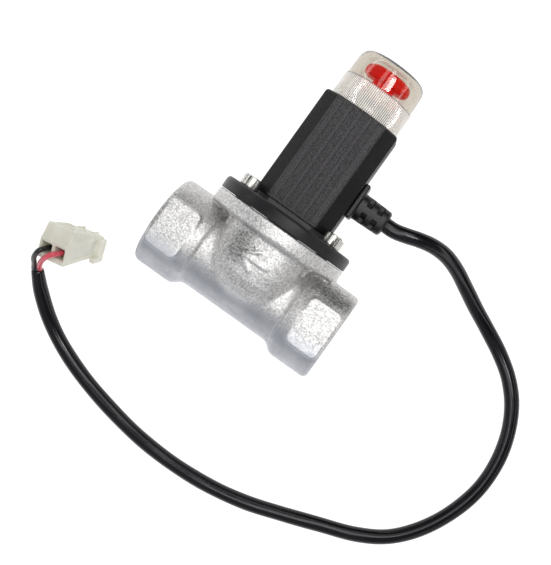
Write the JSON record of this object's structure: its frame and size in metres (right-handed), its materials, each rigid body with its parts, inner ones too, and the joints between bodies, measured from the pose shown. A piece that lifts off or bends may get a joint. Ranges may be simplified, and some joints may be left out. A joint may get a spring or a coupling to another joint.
{
  "type": "solenoid valve",
  "caption": "Manual-reset gas solenoid valve: cast pipe body, square solenoid tower, clear screw cap over a reset knob, and a lead ending in a plug.",
  "frame": {"origin": "On the surface the valve lies on, at z = 0, under the middle of the box around the valve itself, without the lead, its wires and the connector.", "axes": "+X runs along the pipe, from the inlet to the outlet, on whose side the lead leaves. +Y runs up the solenoid tower, from the pipe to the clear cap. +Z points away from the surface the valve lies on."},
  "size_m": [0.1917, 0.1726, 0.054],
  "materials": {
    "cast_aluminium": "sand-cast and blasted, grainy silver",
    "black_paint": "satin black paint",
    "black_anodised": "black anodised, brushed along the tower",
    "bright_steel": "bright zinc plate",
    "dull_steel": "ground, dull",
    "brass": "turned",
    "copper_wire": "enamelled copper wire, wound",
    "bobbin_plastic": "moulded nylon",
    "magnet": "dark oxide",
    "seal_rubber": "moulded nitrile",
    "clear_plastic": "clear moulded, glossy",
    "red_plastic": "glossy red",
    "relief_rubber": "matte black moulding",
    "cable_sheath": "black PVC, slightly glossy",
    "black_insulation": "black PVC",
    "red_insulation": "pinkish red PVC",
    "milky_nylon": "milky white nylon"
  },
  "bodies": {
    "valve": {"valve_body": "cast_aluminium", "flange_seal": "seal_rubber", "cover_plate": "black_paint", "cover_screw_1": "bright_steel", "cover_screw_2": "bright_steel", "cover_screw_3": "bright_steel", "cover_screw_4": "bright_steel", "yoke_plate": "magnet", "solenoid_housing": "black_anodised", "coil_bobbin": "bobbin_plastic", "coil_winding": "copper_wire", "magnet_ring": "magnet", "coil_spacer": "bobbin_plastic", "guide_tube": "brass", "fixed_core": "dull_steel", "return_spring": "bright_steel", "cap_nose": "black_anodised", "rod_seal": "seal_rubber", "strain_relief": "relief_rubber", "cable": "cable_sheath", "wire_black": "black_insulation", "wire_red": "red_insulation", "connector_housing": "milky_nylon", "contact_black": "brass", "contact_red": "brass"},
    "reset_plunger": {"plunger": "dull_steel", "valve_stem": "bright_steel", "disc_holder": "brass", "seal_disc": "seal_rubber", "reset_rod": "bright_steel", "reset_knob": "red_plastic"},
    "cap_carrier": {"cap_seal": "seal_rubber"},
    "cap": {"clear_cap": "clear_plastic"}
  },
  "joints": [
    {"name": "reset_slide", "type": "slide", "parent": "valve", "child": "reset_plunger", "axis": [0, 1, 0], "range_m": [-0.0055, 0], "deforming": ["return_spring"]},
    {"name": "cap_lift", "type": "slide", "parent": "valve", "child": "cap_carrier", "axis": [0, 1, 0], "range_m": [0, 0.028]},
    {"name": "cap_turn", "type": "hinge", "parent": "cap_carrier", "child": "cap", "pos_m": [0, 0.045, 0.027], "axis": [0, 1, 0], "range_deg": [0, 1260]}
  ]
}
